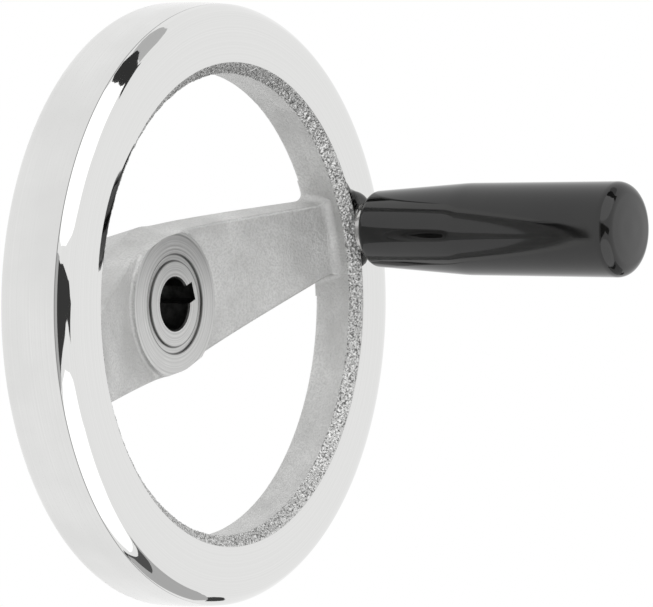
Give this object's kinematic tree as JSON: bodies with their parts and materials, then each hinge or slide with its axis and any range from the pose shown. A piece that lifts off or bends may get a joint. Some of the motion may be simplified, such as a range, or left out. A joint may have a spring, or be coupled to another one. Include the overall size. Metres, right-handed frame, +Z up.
{
  "type": "machine handwheel with revolving grip",
  "caption": "Cast handwheel with dished webbed spokes, a keyed hub bore and a tapered black grip that revolves on a spindle screwed into the rim.",
  "frame": {"origin": "centre of the shaft bore at the hub's back face", "axes": "+Y along the shaft bore, from the rim's polished face towards the hub's back, +Z up, +X towards the grip's side"},
  "size_m": [0.16, 0.1224, 0.16],
  "materials": {
    "aluminium": "polished rim, plain cast spokes",
    "steel": "turned",
    "thermoset": "glossy moulded"
  },
  "bodies": {
    "wheel_body": {"wheel": "aluminium", "grip_spindle": "steel", "retaining_ring": "steel"},
    "grip_body": {"grip": "thermoset"}
  },
  "joints": [
    {"name": "grip_spin", "type": "hinge", "parent": "wheel_body", "child": "grip_body", "pos_m": [0.06603, -0.0824, 0.02069], "axis": [0, 1, 0], "continuous": true}
  ]
}
